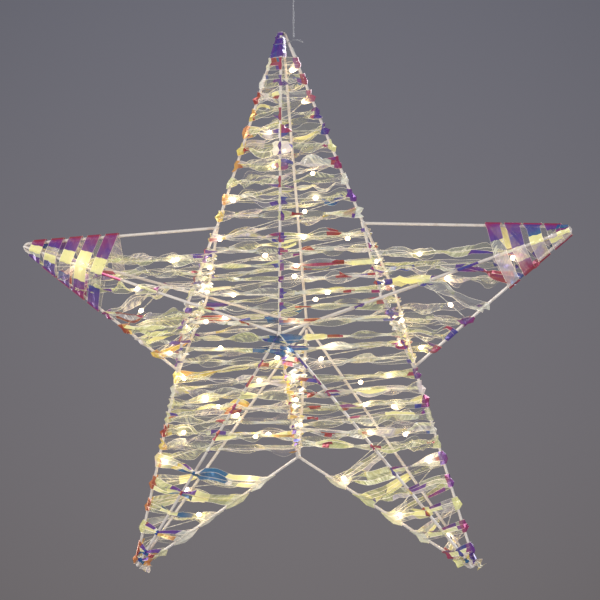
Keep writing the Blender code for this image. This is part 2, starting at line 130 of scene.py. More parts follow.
class Value:
    """The output of a shader node, so that shader maths reads as a sum."""

    def __init__(self, nodes, socket):
        self.nodes, self.socket = nodes, socket

    def maths(self, operation, first, second):
        return self.nodes.add("ShaderNodeMath", {"operation": operation}, {0: first, 1: second})

    def __add__(self, other):
        return self.maths("ADD", self, other)

    def __sub__(self, other):
        return self.maths("SUBTRACT", self, other)

    def __rsub__(self, other):
        return self.maths("SUBTRACT", other, self)

    def __mul__(self, other):
        return self.maths("MULTIPLY", self, other)

    def least(self, other):
        return self.maths("MINIMUM", self, other)

    def most(self, other):
        return self.maths("MAXIMUM", self, other)

    __radd__ = __add__
    __rmul__ = __mul__


class Nodes:
    """A tree of shader nodes, which come from add()."""

    def __init__(self, tree):
        self.tree = tree

    def add(self, kind, settings, inputs, output=0):
        node = self.tree.nodes.new(kind)
        for name, value in settings.items():
            if name == "stops":
                while len(node.color_ramp.elements) < len(value):
                    node.color_ramp.elements.new(1.0)
                for element, (place, colour) in zip(node.color_ramp.elements, value):
                    element.position, element.color = place, (*colour, 1)
            else:
                setattr(node, name, value)
        for name, value in inputs.items():
            self.feed(node.inputs[name], value)
        return Value(self, node.outputs[output])

    def feed(self, socket, value):
        if isinstance(value, Value):
            self.tree.links.new(value.socket, socket)
        elif isinstance(value, tuple) and len(value) == 3 and socket.type == "RGBA":
            socket.default_value = (*value, 1)
        else:
            socket.default_value = value

    def carried(self, name, output="Fac"):
        """What the mesh carries under this name."""
        return self.add("ShaderNodeAttribute", {"attribute_name": name}, {}, output)

    def split(self, vector):
        """The three parts of a vector."""
        x_part = self.add("ShaderNodeSeparateXYZ", {}, {"Vector": vector})
        return [Value(self, socket) for socket in x_part.socket.node.outputs]

    def speckle(self, size, detail=2.0, place=None):
        """Noise with features about size across, from 0 to 1."""
        place = place or self.add("ShaderNodeTexCoord", {}, {}, "Object")
        return self.add("ShaderNodeTexNoise", {}, {"Vector": place, "Scale": 1 / size, "Detail": detail})

    def span(self, value, low, high, to_low=0.0, to_high=1.0):
        settings = {"interpolation_type": "SMOOTHSTEP"}
        inputs = {"Value": value, 1: low, 2: high, 3: to_low, 4: to_high}
        return self.add("ShaderNodeMapRange", settings, inputs)

    def blend(self, share, first, second):
        return self.add("ShaderNodeMix", {"data_type": "RGBA"}, {0: share, 6: first, 7: second}, 2)

    def scaled(self, colour, share):
        return self.add("ShaderNodeVectorMath", {"operation": "SCALE"}, {0: colour, "Scale": share})


class Finish(Nodes):
    """A material, whose surface is set with shows()."""

    def __init__(self, name, **constants):
        self.material = bpy.data.materials.new(name)
        self.material.use_nodes = True
        super().__init__(self.material.node_tree)
        self.shows(**constants)

    def shows(self, **sockets):
        for name, value in sockets.items():
            self.feed(self.tree.nodes["Principled BSDF"].inputs[name.replace("_", " ")], value)

    def bumps(self, height, depth):
        self.shows(Normal=self.add("ShaderNodeBump", {}, {"Height": height, "Distance": depth}))


lacquer = Finish("white_lacquer_coat", Roughness=0.32, Coat_Weight=0.5, Coat_Roughness=0.15)
tired = lacquer.span(lacquer.speckle(0.011, 4.0), 0.52, 0.75)
lacquer.shows(Base_Color=lacquer.blend(tired, (0.80, 0.72, 0.65), (0.62, 0.50, 0.42)))
lacquer.shows(Roughness=lacquer.span(lacquer.speckle(0.004), 0.3, 0.7, 0.24, 0.46))
lacquer.bumps(lacquer.speckle(0.0016, 3.0), 0.00008)
for name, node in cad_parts.items():
    if name.startswith(("tip_wire", "ridge", "crotch_rib", "base_wire", "weld_bead")):
        for slot in node.material_slots:
            slot.material = lacquer.material

# Weld fillets: the small uneven lumps of steel left where the wires were spot welded at the tips, the
# corners and the two apexes, under the same lacquer.
TIP_FILLET, CORNER_FILLET, APEX_FILLET = 0.0019, 0.0021, 0.0030
SET_IN = 0.0012
OFF_MIDDLE = 0.0014
TIP_STACK_SHARE = 0.55
UNEVEN = 0.35
LUMPS = 1.7
APART = 900


def placed(name, data):
    """Puts a mesh, a light or a camera in the scene."""
    thing = bpy.data.objects.new(name, data)
    bpy.context.scene.collection.objects.link(thing)
    return thing


def meshed(name, shape, coat):
    mesh = bpy.data.meshes.new(name)
    shape.to_mesh(mesh)
    shape.free()
    mesh.materials.append(coat.material)
    return placed(name, mesh)


def finished(name, shape, coat, body, node=None, smooth=True):
    """Makes a piece that rides on a body, in the place of a node's solid if one is given."""
    piece = meshed(name, shape, coat)
    piece.data.shade_smooth() if smooth else piece.data.shade_flat()
    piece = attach(piece, body)
    if node:
        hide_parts(node)
    return piece


welds = bmesh.new()
weld_places = []
for arm in range(5):
    tips = [spoke(bearing(arm), CROWN - SET_IN, side * STACKED * TIP_STACK_SHARE) for side in (FRONT, REAR)]
    corners = [spoke(bearing(arm) + HALF_STEP, INNER_REACH, side * OFF_MIDDLE) for side in (FRONT, REAR)]
    weld_places += [(tip, TIP_FILLET) for tip in tips] + [(corner, CORNER_FILLET) for corner in corners]
weld_places += [(Vector((0, side * (APEX - SET_IN), 0)), APEX_FILLET) for side in (FRONT, REAR)]
for place, radius in weld_places:
    for point in bmesh.ops.create_icosphere(welds, subdivisions=3, radius=1.0)["verts"]:
        swell = 1 + UNEVEN * noise.noise(point.co * LUMPS + place * APART)
        point.co = HUNG @ (place + point.co * radius * swell)
finished("weld_fillets", welds, lacquer, "star")

# Light string: two thin enamelled wires twisted together, with a warm white lamp every 100 mm potted in a
# drop of clear resin. Five branches follow every second turn of the film, tucked inside the frame wires.
LAMP_PITCH = 0.1
OFF_WIRE = 0.008
LAID_GAP = 0.0004
TUCKED = WIRE_RADIUS + LAID_GAP + 0.00035
STRAND_RADIUS, STRANDS_APART = 0.00028, 0.0003
STRAND_SIDES, DROP_SIDES = 4, 10
TWIST_PITCH = 0.018
STRING_STEP = 0.004
LEG_TILT = math.radians(12)
ROUND_TURN = 0.5
OPEN_EDGE, BUNCHED = "open", "bunched"
LEANING = {LOWER_LEFT: Vector((math.sin(LEG_TILT), 0, math.cos(LEG_TILT))),
           LOWER_RIGHT: Vector((-math.sin(LEG_TILT), 0, math.cos(LEG_TILT)))}
CROSS_LEVEL = INNER_LINE * math.sin(bearing(LEFT))
SIDE_LEVEL = spoke(bearing(LEFT) + HALF_STEP, INNER_REACH).z
BESIDE_RIB = 0.0035

# Runs of turns: first and last as shares of the arms' reach, and how many.
TOP_RUN, CHEST_RUN = (FIRST_TURN_SHARE, 0.3794, 10), (0.3087, 0.0386, 7)
HIP_RUNS = (-0.0514, -0.0965, 2), (-0.1543, -0.3794, 6)
SIDE_RUNS = (0.2412, 0.1511, 3), (0.0611, -0.0740, 4)
LEG_RUN = (0.5723, 0.9132, 5)


def levels(*runs):
    turns = [(first, last, n, count - 1) for first, last, count in runs for n in range(count)]
    return [ARM_REACH * (first + (last - first) * n / steps) for first, last, n, steps in turns]


def over(wire, climb=0.0, shift=0.0, above=-1.0, below=1.0):
    """A wire that a turn passes over, its part of the climb to the next turn, and between which levels."""
    return wire, climb, shift, above, below


def wound(heights, axis, wires, last):
    """Where turns at these heights meet their wires: point, wire's direction, and how the film lies."""
    met = []
    pitch = heights[0] - heights[1]
    for index, height in enumerate(heights):
        if index + 1 < len(heights):
            pitch = height - heights[index + 1]
        for wire, climb, shift, above, below in wires if index + 1 < len(heights) else wires[:last]:
            level = height - climb * pitch + shift
            place = crossing(wire, axis, level) if above < level < below else None
            if place:
                lies = OPEN_EDGE if all(abs(point.y) < 1e-6 for point in wire) else BUNCHED
                met.append((*place, lies))
    return met


def round_arm(arm, first_edge=left_edge, other_edge=right_edge):
    ridges = over(ridge(arm, FRONT)), over(ridge(arm, REAR), ROUND_TURN)
    return [over(first_edge(arm)), ridges[0], over(other_edge(arm)), ridges[1]]


def leg_turns(arm, reaches):
    """Turns round a leg, square to a line that leans with it."""
    lean = spoke(bearing(arm), 1).dot(LEANING[arm])
    wires = round_arm(arm, right_edge, left_edge)
    return wound([reach * lean for reach in reaches], LEANING[arm], wires, 3)


def top_turns(skip):
    wires = [
        over(base_wire(LEFT, FRONT)), over(ridge(LEFT, FRONT), below=CROSS_LEVEL), over(ridge(TOP, FRONT)),
        over(ridge(RIGHT, FRONT), below=CROSS_LEVEL), over(base_wire(RIGHT, FRONT)),
        over(base_wire(RIGHT, REAR)), over(ridge(RIGHT, REAR), below=CROSS_LEVEL),
        over(ridge(TOP, REAR), ROUND_TURN), over(ridge(LEFT, REAR), 1, below=CROSS_LEVEL),
        over(base_wire(LEFT, REAR), 1),
    ]
    arm = wound(levels(TOP_RUN)[::skip], UP, round_arm(TOP), 4)
    return arm + wound(levels(CHEST_RUN)[::skip], UP, wires, 6)


def lower_left_turns(skip):
    wires = [
        over(base_wire(LEFT, FRONT), above=SIDE_LEVEL), over(right_edge(LOWER_LEFT), below=SIDE_LEVEL),
        over(ridge(LOWER_LEFT, FRONT)), over(crotch_rib(FRONT), 0, -BESIDE_RIB),
        over(crotch_rib(REAR), 0, -BESIDE_RIB), over(ridge(LOWER_LEFT, REAR), ROUND_TURN),
        over(base_wire(LEFT, REAR), 1, above=SIDE_LEVEL),
    ]
    return wound(levels(*HIP_RUNS)[::skip], UP, wires, 7) + leg_turns(LOWER_LEFT, levels(LEG_RUN)[::skip])


def lower_right_turns(skip):
    wires = [
        over(crotch_rib(FRONT), 0, BESIDE_RIB), over(ridge(LOWER_RIGHT, FRONT)),
        over(base_wire(RIGHT, FRONT), above=SIDE_LEVEL), over(left_edge(LOWER_RIGHT), below=SIDE_LEVEL),
        over(base_wire(RIGHT, REAR), above=SIDE_LEVEL), over(ridge(LOWER_RIGHT, REAR), ROUND_TURN),
        over(crotch_rib(REAR), 1, BESIDE_RIB),
    ]
    return wound(levels(*HIP_RUNS)[::skip], UP, wires, 6) + leg_turns(LOWER_RIGHT, levels(LEG_RUN)[::skip])


def left_arm_turns(skip):
    wires = [
        over(left_edge(LEFT)), over(ridge(LEFT, FRONT), above=CROSS_LEVEL), over(base_wire(LEFT, FRONT)),
        over(base_wire(LEFT, REAR)), over(ridge(LEFT, REAR), above=CROSS_LEVEL),
    ]
    return wound(levels(*SIDE_RUNS)[::skip], UP, wires, 5)


def right_arm_turns(skip):
    wires = [
        over(base_wire(RIGHT, FRONT)), over(ridge(RIGHT, FRONT), above=CROSS_LEVEL),
        over(right_edge(RIGHT), 1), over(ridge(RIGHT, REAR), 1, above=CROSS_LEVEL),
        over(base_wire(RIGHT, REAR), 1),
    ]
    return wound(levels(*SIDE_RUNS)[::skip], UP, wires, 2)


def outward(direction, wire_direction):
    return direction.cross(wire_direction).normalized()


def ways_past(met, index):
    """From the last meeting with a wire to this one, and from this one to the next."""
    point = met[index][0]
    arriving = point - met[index - 1][0] if index else met[1][0] - point
    return arriving, met[index + 1][0] - point if index + 1 < len(met) else arriving


def tucked_path(met, lead_in=()):
    path = list(lead_in)
    for index, (point, run, _) in enumerate(met):
        arriving, leaving = ways_past(met, index)
        path.append(point - (outward(arriving, run) + outward(leaving, run)).normalized() * TUCKED)
    return path


def lamp_places(path):
    """Centre and direction of each lamp along a branch, kept off the wires that it bends over."""
    places, travelled, next_lamp = [], 0.0, LAMP_PITCH / 2
    for start, end in zip(path, path[1:]):
        run = end - start
        place = max(next_lamp - travelled, OFF_WIRE)
        while place < run.length - OFF_WIRE:
            places.append((start + run.normalized() * place, run.normalized()))
            next_lamp = travelled + place + LAMP_PITCH
            place = next_lamp - travelled
        travelled += run.length
    return places


def ring(shape, hang, centre, across, other, radius, sides):
    """Points round a centre, in the plane of two directions."""
    turns = [math.tau * n / sides for n in range(sides)]
    spots = [centre + (across * math.cos(turn) + other * math.sin(turn)) * radius for turn in turns]
    return [shape.verts.new(hang @ spot) for spot in spots]


def skin(shape, rings):
    """Faces from each ring of points to the next, and one at either end."""
    for one, two in zip(rings, rings[1:]):
        for n in range(len(one)):
            shape.faces.new((one[n - 1], one[n], two[n], two[n - 1]))
    shape.faces.new(rings[0][::-1])
    shape.faces.new(rings[-1])


def square_to(way):
    across = way.cross(Vector((0.13, 0.71, 0.69))).normalized()
    return across, way.cross(across)


enamel = Finish("enamelled_string_wire", Roughness=0.3, Coat_Weight=0.6)
enamel.shows(Base_Color=enamel.blend(enamel.speckle(0.02), (0.86, 0.78, 0.62), (0.95, 0.90, 0.80)))
enamel.bumps(enamel.speckle(0.0012), 0.00005)

resin = Finish("lit_resin_drop", Roughness=0.12, Coat_Weight=1.0, Emission_Strength=16.0)
cloudy = resin.speckle(0.0011, 3.0)
core_light = resin.span(resin.carried("from_core") + cloudy * 0.2, 0.25, 0.95, 1.0, 0.0)
resin.shows(Base_Color=resin.blend(cloudy, (0.95, 0.88, 0.72), (1.0, 0.96, 0.88)))
resin.shows(Emission_Color=resin.blend(core_light, (0.16, 0.10, 0.04), (1.0, 0.80, 0.52)))

# A drop's rings: place along the string, radius, and distance from the lit core from 0 to 1.
DROP = [(-0.0034, 0.0004, 1.0), (-0.0029, 0.0011, 0.8), (-0.0016, 0.0019, 0.45), (-0.0002, 0.0022, 0.1),
        (0.0012, 0.0019, 0.25), (0.0024, 0.0012, 0.6), (0.0032, 0.0005, 1.0)]
SLEEVE_RADIUS, SLEEVE_LENGTH = 0.0016, 0.011
SLEEVE_BELOW_TIE = 0.006
LEAD_OUT = 0.0032
behind_wire = Vector((0, WIRE_RADIUS + GAP + SLEEVE_RADIUS, 0))
sleeve_foot = tie_centre + behind_wire - tie_run * SLEEVE_BELOW_TIE - tie_run * SLEEVE_LENGTH
branches = {
    "top": tucked_path(top_turns(2), [sleeve_foot - tie_run * GAP, sleeve_foot - tie_run * LEAD_OUT]),
    "lower_left": tucked_path(lower_left_turns(2)),
    "lower_right": tucked_path(lower_right_turns(2)),
    "left_arm": tucked_path(left_arm_turns(2)),
    "right_arm": tucked_path(right_arm_turns(2)),
}
lamps = []
for branch, path in branches.items():
    pair = bmesh.new()
    for strand in (0, math.pi):
        rings, travelled = [], 0.0
        for start, end in zip(path, path[1:]):
            run = end - start
            across, other = square_to(run.normalized())
            steps = max(2, round(run.length / STRING_STEP))
            for step in range(steps):
                twist = strand + 2 * math.pi * (travelled + run.length * step / steps) / TWIST_PITCH
                middle = start + run * (step / steps)
                middle += (across * math.cos(twist) + other * math.sin(twist)) * STRANDS_APART
                rings.append(ring(pair, HUNG, middle, across, other, STRAND_RADIUS, STRAND_SIDES))
            travelled += run.length
        skin(pair, rings)
    finished(f"string_wires_{branch}", pair, enamel, "star", f"light_string_{branch}")
    drops = bmesh.new()
    from_core = drops.verts.layers.float.new("from_core")
    for centre, way in lamp_places(path):
        lamps.append(list(centre))
        rings = [ring(drops, HUNG, centre + way * along, *square_to(way), radius, DROP_SIDES)
                 for along, radius, _ in DROP]
        skin(drops, rings)
        for points, (_, _, share) in zip(rings, DROP):
            for point in points:
                point[from_core] = share
    finished(f"lamp_drops_{branch}", drops, resin, "star")

# Film: clear iridescent strip 14 mm wide and a twentieth of a millimetre thick, wound by hand over the
# wires. It lies open over the outline, is drawn in at every ridge, and between them it narrows, opens like
# a leaf and flips over.
STRIP = 0.014
COLUMNS = 3
ROW_RUN = 0.004
SHORTEST_BAND, SHORTEST_PASS = 0.004, 0.006
FLAT_WIDTH = 0.96
ON_WIRE, UNDER_TIE, OVER_FILM = WIRE_RADIUS + 0.0005, WIRE_RADIUS + 0.0001, WIRE_RADIUS + 0.0018
LOOSE_END = 0.012
# How far the painted lamp glow on the film reaches from each lamp.
LAMP_GLOW = 0.0066
FAR_FROM_CREASE = 9.0
DEEPEST_FOLD = 0.0012
LEG_LEVEL = -0.13
HIGH_ARM = 0.1
BEHIND = 0.004

# Looks: tone from 0, pale yellow, through white, gold, red and violet to 1, near black; opacity; ripple.
DEEP_FROM = 0.42
PALE_LAST = 0.41
PALE_YELLOW, BRIGHT_YELLOW = (0.08, 0.92, 0.0), (0.08, 0.93, 0.0)
DEEP_BLUE = (0.90, 0.9, 0.0)
LEFT_FAN = (0.74, 0.88, 0.0), PALE_YELLOW, (0.93, 0.9, 0.0)
RIGHT_FAN = (0.40, 0.6, 0.6), (0.09, 0.75, 0.6), (0.71, 0.8, 0.0)
CLEAR_SHARE, YELLOW_SHARE = 0.50, 0.04
LEG_CLEAR_SHARE, LEG_YELLOW_SHARE = 0.20, 0.14

# Passes: how narrow the film is drawn, how wide it opens, and how far apart it does either.
PASSES = {
    "inside": ((0.15, 0.25), (0.28, 0.40), (0.012, 0.020)),
    "leg": ((0.6, 0.85), (0.95, 1.0), (0.018, 0.032)),
    "arm": ((0.32, 0.58), (0.66, 1.0), (0.011, 0.020)),
    "chest": ((0.12, 0.24), (0.36, 0.80), (0.013, 0.028)),
}

film = Finish("iridescent_film", IOR=1.6, Emission_Strength=1.0)
tone, veil, rippled = film.split(film.carried("facet", "Vector"))
first_crease, second_crease, third_crease = film.split(film.carried("folds", "Vector"))
to_crease = first_crease.least(second_crease).least(third_crease)
# Painted lamp light: how near each point of film lies to the lamps, which makes the film glow.
lit = film.carried("lit")
across_strip, along_strip, _ = film.split(film.add("ShaderNodeUVMap", {"uv_map": "strip"}, {}))


def grain(across, along, slant):
    """Noise on the strip, with so many features over its width and along each metre."""
    place = {"X": across_strip * across, "Y": along_strip * along + across_strip * slant}
    return film.speckle(1.0, 1.0, film.add("ShaderNodeCombineXYZ", {}, place))


drift = film.speckle(0.011, 1.0)
ripples = grain(2.0, 340, 4.5)
ripple = film.span(ripples, 0.40, 0.62) * film.span(grain(1.5, 60, 0.0), 0.38, 0.60, 0.25, 1.0)
hue = tone + (drift - 0.5) * 0.12 + (ripples - 0.5) * rippled * 0.10
sheen = film.add("ShaderNodeValToRGB", {"stops": [
    (0.00, (0.74, 0.76, 0.30)), (0.08, (0.95, 0.90, 0.38)), (0.16, (0.76, 0.78, 0.46)),
    (0.24, (0.95, 0.88, 0.55)), (0.31, (0.82, 0.84, 0.74)), (0.37, (0.97, 0.91, 0.78)),
    (0.41, (0.88, 0.74, 0.80)), (0.46, (0.95, 0.80, 0.18)), (0.51, (0.90, 0.42, 0.12)),
    (0.57, (0.44, 0.06, 0.04)), (0.65, (0.44, 0.03, 0.16)), (0.73, (0.20, 0.05, 0.34)),
    (0.82, (0.07, 0.05, 0.38)), (0.91, (0.03, 0.20, 0.42)), (1.00, (0.02, 0.03, 0.12)),
]}, {"Fac": hue})
deep = film.span(hue, DEEP_FROM, 0.50)
# Painted highlight: near-white, more opaque and glowing lines along the film's creases.
painted_crease_highlight = film.span(to_crease, 0.14, 0.46, 1.0, 0.0)
# Painted highlight: glints on the ripples of the rippled pieces, lighter, more opaque and glowing.
painted_glint = ripple * rippled * (1 - deep)
# Painted lamp light: the film is made more opaque near the lamps, so that its painted glow shows.
near_lamp = film.span(lit, 0.05, 0.8)
# Colour lightened toward white by the painted glints and the painted crease highlights.
brightened = film.blend(painted_glint * 0.6, sheen, (0.99, 0.97, 0.72))
film.shows(Base_Color=film.blend(painted_crease_highlight * (1 - deep * 0.6), brightened, (1.0, 0.93, 0.82)))
film.shows(Metallic=deep * 0.25)
film.shows(Roughness=film.span(drift, 0.3, 0.7, 0.10, 0.28))
# Opacity: the piece's own, raised by the painted glints, the painted lamp light and the painted crease
# highlights.
thickness = veil + painted_glint * 0.45 + near_lamp * 0.35 + painted_crease_highlight * 0.72
film.shows(Alpha=film.add("ShaderNodeClamp", {}, {"Value": thickness, "Min": 0.03, "Max": 0.97}))
# Painted light: the film glows warm near the lamps, along its creases, on its ripples and on its most opaque
# pale pieces, though it is no lamp.
warm = film.blend(film.span(lit, 0.2, 1.4), (1.0, 0.72, 0.36), (1.0, 0.93, 0.76))
painted_catch_light = film.span(veil, 0.8, 0.95) * (1 - deep)
glow = lit * 0.9 + painted_crease_highlight * (lit * 1.4 + 0.15) + painted_glint * (lit * 0.9 + 0.08) + painted_catch_light * 0.14
film.shows(Emission_Color=film.scaled(warm, glow))
film.bumps(ripples * rippled, 0.0005)


def smooth(share):
    share = min(1.0, max(0.0, share))
    return share * share * (3 - 2 * share)


def near_apex(place):
    return abs(place.x) < 0.03 and abs(place.z) < 0.02


def deep_tones(place, lies):
    """The deep colours of film here: gold and red on the left, red to blue on the right and at the tips."""
    at_tip = abs(place.x) > 0.19 or place.z > 0.25
    on_rib = abs(place.x) < 0.012 and place.z < -0.02
    on_leg = place.z < -0.12
    if at_tip:
        return [0.60, 0.66, 0.72, 0.76, 0.82, 0.88]
    if lies == OPEN_EDGE:
        return [0.60, 0.65, 0.70, 0.76, 0.82] if place.x > 0 else [0.46, 0.48, 0.51, 0.54, 0.57]
    if near_apex(place):
        return [0.82, 0.88, 0.92]
    if on_rib:
        return [0.44, 0.46, 0.48, 0.51]
    return [0.46, 0.72, 0.76, 0.82, 0.90, 0.94] if on_leg else [0.57, 0.64, 0.74, 0.78, 0.82]


def kept_open(place, lies):
    """How much of its width the film may keep over a wire, at least and at most."""
    on_leg = place.z < LEG_LEVEL
    if lies == OPEN_EDGE:
        return (0.9, 1.0) if on_leg else (0.74, 0.96)
    if place.y > BEHIND:
        return 0.2, 0.5
    if on_leg:
        return (0.2, 0.4) if place.x < 0 else (0.4, 0.75)
    return (0.65, 1.0) if place.z > HIGH_ARM else (0.3, 0.85)


class Strip:
    """One length of film, laid from wire to wire as rows of points across it, and coloured in pieces."""

    def __init__(self, seed):
        self.draw = random.Random(seed)
        self.uniform = self.draw.uniform
        self.rows = []
        self.pieces = [[] for _ in range(COLUMNS)]
        self.wraps = []
        self.travelled = 0.0
        self.facing = 1
        self.pale = 0.2

    def happens(self, share):
        return self.draw.random() < share

    def pale_look(self, clear=CLEAR_SHARE, yellow=YELLOW_SHARE):
        """A look of film that is clear, or pale and rippled, or that catches the light."""
        self.pale = min(PALE_LAST, max(0.0, self.pale + self.uniform(-0.2, 0.2)))
        kind = self.draw.random()
        if kind < clear:
            return self.pale, self.uniform(0.04, 0.12), 0.0
        if kind < clear + 0.32:
            return self.pale, self.uniform(0.12, 0.28), self.uniform(0.7, 1.0)
        if kind < 1 - yellow:
            return self.pale, self.uniform(0.35, 0.6), self.uniform(0.3, 1.0)
        return PALE_YELLOW

    def deep_look(self, tones):
        return self.draw.choice(tones) + self.uniform(-0.02, 0.02), self.uniform(0.76, 0.92), 0.0

    def colour(self, columns, start, end, look, fade=0.0):
        """Colours these columns between two places along the strip. The tone changes by fade on the way."""
        for column in columns:
            self.pieces[column].append((start, end, look, fade))

    def row(self, centre, across, normal, width, wander=(0.0, 0.0), crumple=0.0, lines=(1, 1)):
        """Adds a row of points, folded where it is narrower than the strip."""
        if self.rows:
            self.travelled += (centre - self.rows[-1]["centre"]).length
        half, piece = STRIP / 2 * width, STRIP / COLUMNS
        fold = min(0.5 * math.sqrt(max(piece ** 2 - (2 * half / COLUMNS) ** 2, 0)), DEEPEST_FOLD)
        spots = []
        for line in range(COLUMNS + 1):
            share = 2 * line / COLUMNS - 1
            if 0 < line < COLUMNS:
                share += wander[line - 1]
            lift = fold * (1 if line % 2 else -1) + crumple * self.uniform(-1, 1)
            spots.append(centre + across * (share * half * self.facing) + normal * lift)
        self.rows.append({"spots": spots, "centre": centre, "along": self.travelled, "width": width,
                          "lines": (1, *lines, 1)})

    def over_wire(self, point, run, arrive, leave, lies, opened, offset, tones, flat, solid):
        """Rows round a wire: open over the outline, drawn in over a ridge, changing colour on the way."""
        turned, axis = arrive.angle(leave), arrive.cross(leave)
        steps = max(1, math.ceil(turned / math.radians(40)))
        outline, on_leg = lies == OPEN_EDGE, point.z < LEG_LEVEL
        inner_leg = outline and on_leg and abs(point.x) < 0.145
        flare = 1.75 if inner_leg else 1.0
        lifted = 0.0002 if flat else 0.0003 if outline else 0.0009
        standing, farthest = [], 0.0042 if on_leg else 0.0036
        if outline and not flat:
            standing = [line for line in (1, 2) if self.happens(0.8 if on_leg else 0.35)]
        for step in range(steps + 1):
            normal = Quaternion(axis, turned * step / steps) @ arrive if axis.length > 1e-6 else arrive
            self.row(point + normal * (offset + lifted), run, normal, opened * flare, lines=(0, 0))
            start = self.travelled if step == 0 else start
            for line in standing if step in (1, 2) and step < steps else []:
                self.rows[-1]["spots"][line] += normal * self.uniform(0.0012, farthest)
        deep_share = 0.12 if point.y > BEHIND else 0.5
        if outline:
            deep_share = 0.25 * (point.x > 0) if inner_leg else 0.62
        if flat and not solid:
            look, fade = ((0.59, 0.92, 0.0), 0.07) if outline else (PALE_YELLOW, 0.0)
            if not outline and point.x > 0 and self.happens(0.6):
                look = (PALE_LAST, 0.5, 0.2)
        elif solid or self.happens(deep_share):
            look = self.deep_look(tones)
            fade = self.draw.choice(tones) - look[0]
        else:
            look, fade = (self.uniform(0.0, 0.40), self.uniform(0.4, 0.85), 0.3), 0.08
        spread = 0.007 if inner_leg else 0.0036 if outline and not flat else 0.0006
        self.wraps.append((start - spread, self.travelled + spread, look, fade))

    def band(self, start, end, start_run, end_run, tones, solid):
        """A flat pass near a tip: deep next to the outline, pale yellow or clear next to the ridge."""
        run = end - start
        if run.length < SHORTEST_BAND:
            return
        begun, middle = self.travelled, (start + end) / 2
        behind = middle.y > 0.002
        by_outline = abs(start.y) < abs(end.y)
        change = run.length * self.uniform(0.5, 0.72)
        change = change if by_outline else run.length - change
        for low, high in ((0.0, change), (change, run.length)):
            count = max(1, round((high - low) / ROW_RUN))
            for step in range(1, count + 1 if high < run.length else count):
                at = low + (high - low) * step / count
                across = start_run.lerp(end_run, at / run.length)
                across = (across - across.dot(run) * run / run.length_squared).normalized()
                spot, square = start + run.normalized() * at, run.cross(across).normalized()
                self.row(spot, across, square, FLAT_WIDTH, crumple=0.00015, lines=(0, 0))
        lower_right = middle.x > 0 and middle.dot(spoke(bearing(RIGHT) + math.pi / 2, 1)) < 0
        deep = solid or self.happens(0.35 if behind or lower_right else 1.0)
        yellow = not behind and self.happens(0.6 if middle.x < 0 else 0.25)
        clear = (PALE_LAST, self.uniform(0.25, 0.5), 0.2) if lower_right else self.pale_look()
        outline_look = self.deep_look(tones) if deep else clear
        runs_on = solid or (middle.x > 0 and not lower_right and not behind and self.happens(0.6))
        ridge_look = PALE_YELLOW if yellow and not solid else self.deep_look(tones) if runs_on else clear
        fade = 0.09 * deep
        looks = [(outline_look, fade), (ridge_look, 0.0)]
        if not by_outline:
            looks = [(ridge_look, 0.0), (outline_look, -fade)]
        self.colour(range(COLUMNS), begun, begun + change, *looks[0])
        self.colour(range(COLUMNS), begun + change, begun + run.length, *looks[1])

    def course(self, length, ends, narrow, opening, spacing):
        """A pass's knots (place, opening, lean, creases, shift), its throats, and whether it flips over."""
        spin = self.draw.choice((-1, 1))
        turned, place, wide = 0.0, 0.0, ends[0] > 0.42
        knots, throats = [(0.0, ends[0], 0.0, 0.0, 0.0, 0.0)], []
        while True:
            place += self.uniform(*spacing)
            if place > length - spacing[0] * 0.6:
                break
            wide = not wide
            flips = not wide and self.happens(0.3)
            lean = turned + (self.uniform(-0.7, 0.7) if not flips else spin * math.pi / 2)
            opened = self.uniform(*(opening if wide else narrow))
            shift = self.draw.choice((-1, 1)) * self.uniform(0.4, 1.0) * (opened - 0.1) * 0.6
            creases = self.uniform(-0.3, 0.3), self.uniform(-0.3, 0.3)
            knots.append((place, opened, lean, *creases, shift))
            turned += spin * math.pi * flips
            if not wide:
                throats.append(place)
        knots.append((length, ends[1], turned, 0.0, 0.0, 0.0))
        return knots, throats, round(turned / math.pi) % 2

    def between(self, start, end, start_run, end_run, tones, ends):
        """A pass that narrows, opens like a leaf, leans and now and then flips over on its way."""
        run = end - start
        length, way = run.length, run.normalized()
        if length < SHORTEST_PASS:
            return
        middle = (start + end) / 2
        leg, outer = middle.z < LEG_LEVEL, Vector((middle.x, middle.z)).length > INNER_REACH
        kind = "inside" if abs(way.y) > 0.75 else "leg" if leg else "arm" if outer else "chest"
        knots, throats, flipped = self.course(length, ends, *PASSES[kind])
        begun = self.travelled
        lines = [self.happens(0.8 if leg else 0.3) for _ in range(COLUMNS - 1)]
        count = max(2, round(length / ROW_RUN))
        for step in range(1, count):
            at = length * step / count
            one, two = next(pair for pair in zip(knots, knots[1:]) if pair[0][0] <= at <= pair[1][0])
            share = (at - one[0]) / (two[0] - one[0])
            swell = math.sin(math.pi / 2 * share) if two[1] > one[1] else 1 - math.cos(math.pi / 2 * share)
            width = one[1] + (two[1] - one[1]) * swell
            lean, *wander, shift = (one[n] + (two[n] - one[n]) * smooth(share) for n in range(2, 6))
            wires_way = start_run.lerp(end_run, at / length).normalized()
            slope = wires_way.dot(way)
            square = Quaternion(way, lean) @ (wires_way - slope * way).normalized()
            slanted = 1 - smooth(min(at, length - at) / (0.03 if leg else 0.016))
            skew = slope / math.sqrt(1 - slope * slope) * slanted
            spot = start + way * at + square * (shift * STRIP / 2)
            self.row(spot, square + way * skew, way.cross(square), width, wander, 0.0001, lines)
        self.facing *= -1 if flipped else 1
        front = start.y < BEHIND and end.y < BEHIND
        self.pale_pieces(begun, [0.0, *throats, length], knots, tones[1], middle, outer)
        if front and not outer and middle.x > 0 and min(abs(start.x), abs(end.x)) < 0.006:
            self.chest_pieces(begun, length, abs(start.x) < abs(end.x))
        deep_share = (0.30 if outer else 0.20) if front else 0.06
        fan = (RIGHT_FAN if middle.x > 0 else LEFT_FAN) if leg and front and outer else None
        for at_start, met, near_tones in ((True, start, tones[0]), (False, end, tones[1])):
            pinched = fan and abs(met.y) > BEHIND
